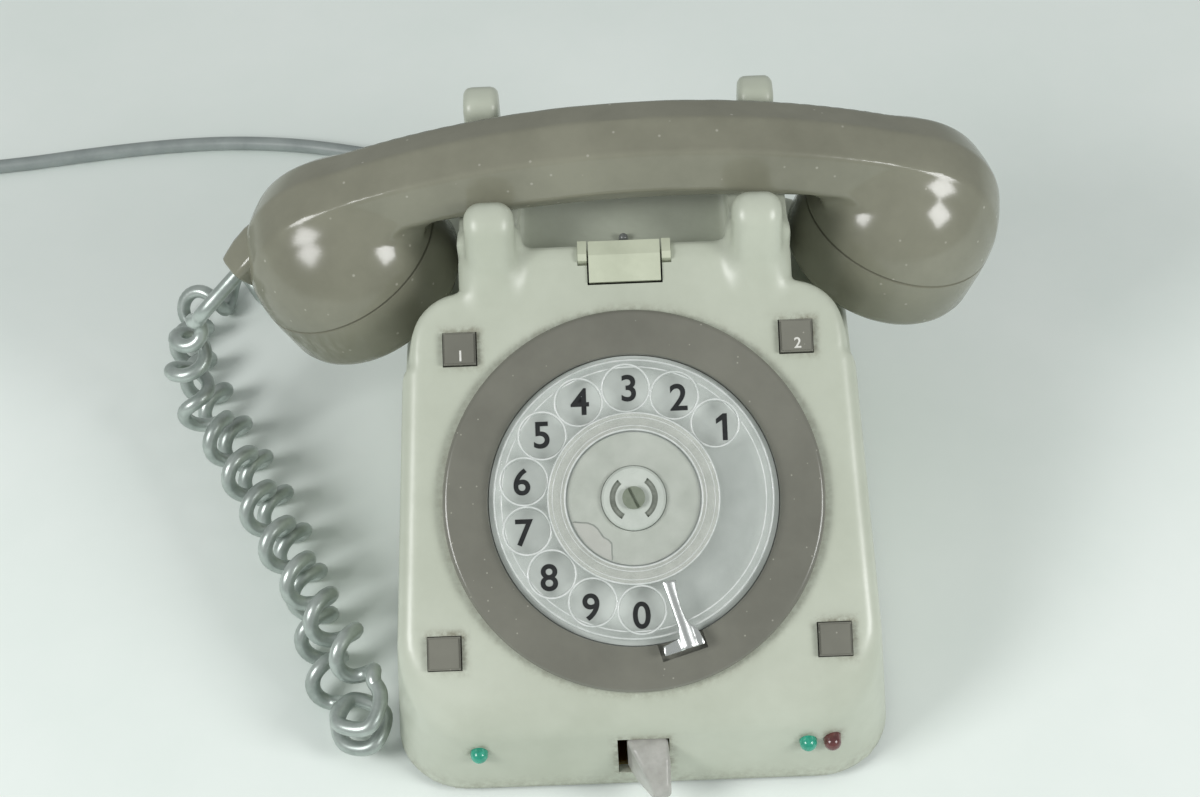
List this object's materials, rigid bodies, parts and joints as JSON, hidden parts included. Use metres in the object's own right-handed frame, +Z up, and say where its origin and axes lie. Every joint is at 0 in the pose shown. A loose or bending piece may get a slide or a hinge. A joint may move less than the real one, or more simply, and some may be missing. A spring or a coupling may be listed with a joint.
{
  "type": "desk telephone",
  "caption": "Desk telephone with a slanted rotary dial, push buttons, a front lever, a hinged recall key, a handset on a horned cradle and a curly cord.",
  "frame": {"origin": "on the table, in the middle of the footprint under the housing and handset", "axes": "+Z up, the front panel looks along -Y, +X to the right of someone who faces the dial"},
  "size_m": [0.4632, 0.2871, 0.1347],
  "materials": {
    "shell_plastic": "satin moulded plastic",
    "plate_steel": "plated",
    "foot_rubber": "matt",
    "taupe_plastic": "satin moulded plastic",
    "number_plastic": "matt with black printed digits",
    "polished_steel": "polished",
    "clear_plastic": "clear moulded plastic",
    "card_paper": "paper",
    "white_plastic": "satin",
    "dark_plastic": "matt",
    "green_lens": "translucent",
    "red_lens": "translucent",
    "lever_plastic": "translucent",
    "contact_brass": "plain",
    "cream_plastic": "satin",
    "board_laminate": "laminate",
    "winding": "lacquered winding",
    "can_aluminium": "plain",
    "taupe_rubber": "satin",
    "curly_vinyl": "glossy vinyl",
    "line_vinyl": "vinyl"
  },
  "bodies": {
    "base": {"housing": "shell_plastic", "base_plate": "plate_steel", "rubber_feet": "foot_rubber", "base_screws": "plate_steel", "dial_bezel": "taupe_plastic", "number_plate": "number_plastic", "dial_case": "plate_steel", "finger_stop": "polished_steel", "button_switches": "dark_plastic", "green_lamps": "green_lens", "red_lamp": "red_lens", "call_lamp": "dark_plastic", "lever_frame": "contact_brass", "key_bracket": "cream_plastic", "hook_frame": "plate_steel", "circuit_board": "board_laminate", "induction_coil": "winding", "capacitor": "can_aluminium", "terminal_block": "dark_plastic", "ringer_coil": "winding", "gong_posts": "plate_steel", "gong_left": "contact_brass", "gong_right": "contact_brass", "curly_cord": "curly_vinyl", "curly_gland": "taupe_rubber", "line_cord": "line_vinyl", "line_gland": "taupe_rubber", "line_coil": "line_vinyl", "cord_tie": "dark_plastic", "line_plug": "line_vinyl", "plug_contacts": "contact_brass"},
    "dial_wheel": {"finger_wheel": "clear_plastic", "dial_shaft": "plate_steel", "number_card": "card_paper", "card_window": "clear_plastic", "wheel_hub": "white_plastic", "wheel_screw": "plate_steel"},
    "key_top_left": {"button_top_left": "taupe_plastic"},
    "key_top_right": {"button_top_right": "taupe_plastic"},
    "key_low_left": {"button_low_left": "taupe_plastic"},
    "key_low_right": {"button_low_right": "taupe_plastic"},
    "line_lever": {"lever": "lever_plastic"},
    "recall": {"recall_key": "cream_plastic"},
    "bell_clapper": {"clapper": "plate_steel"},
    "handset": {"handset_shell": "taupe_plastic", "ear_cap": "taupe_plastic", "mouth_cap": "taupe_plastic", "receiver": "can_aluminium", "transmitter": "can_aluminium", "handset_boot": "taupe_rubber"},
    "hook": {"hook_plungers": "dark_plastic"}
  },
  "joints": [
    {"name": "dial_spin", "type": "hinge", "parent": "base", "child": "dial_wheel", "pos_m": [0, -0.03227, 0.07032], "axis": [0, -0.5299, 0.848], "range_deg": [-325, 0], "stiffness_Nm_per_rad": 0.004},
    {"name": "press_top_left", "type": "slide", "parent": "base", "child": "key_top_left", "axis": [0, 0.5299, -0.848], "range_m": [0, 0.0025], "stiffness_N_per_m": 200},
    {"name": "press_top_right", "type": "slide", "parent": "base", "child": "key_top_right", "axis": [0, 0.5299, -0.848], "range_m": [0, 0.0025], "stiffness_N_per_m": 200},
    {"name": "press_low_left", "type": "slide", "parent": "base", "child": "key_low_left", "axis": [0, 0.5299, -0.848], "range_m": [0, 0.0025], "stiffness_N_per_m": 200},
    {"name": "press_low_right", "type": "slide", "parent": "base", "child": "key_low_right", "axis": [0, 0.5299, -0.848], "range_m": [0, 0.0025], "stiffness_N_per_m": 200},
    {"name": "lever_throw", "type": "hinge", "parent": "base", "child": "line_lever", "pos_m": [0, -0.0795, 0.018], "axis": [0, 0, 1], "range_deg": [-32, 0]},
    {"name": "recall_press", "type": "hinge", "parent": "base", "child": "recall", "pos_m": [0, 0.02954, 0.10635], "axis": [1, 0, 0], "range_deg": [0, 6], "stiffness_Nm_per_rad": 0.05},
    {"name": "clapper_swing", "type": "hinge", "parent": "base", "child": "bell_clapper", "pos_m": [0, 0.039, 0.0156], "axis": [0, 0, 1], "range_deg": [-5, 5], "stiffness_Nm_per_rad": 0.01},
    {"name": "handset_lift", "type": "slide", "parent": "base", "child": "handset", "axis": [0, 0, 1], "range_m": [0, 0.08]},
    {"name": "hook_rise", "type": "slide", "parent": "base", "child": "hook", "axis": [0, 0, 1], "range_m": [0, 0.005]}
  ],
  "couplings": [
    {"joint": "hook_rise", "follows": "handset_lift", "ratio": 0.0625}
  ]
}
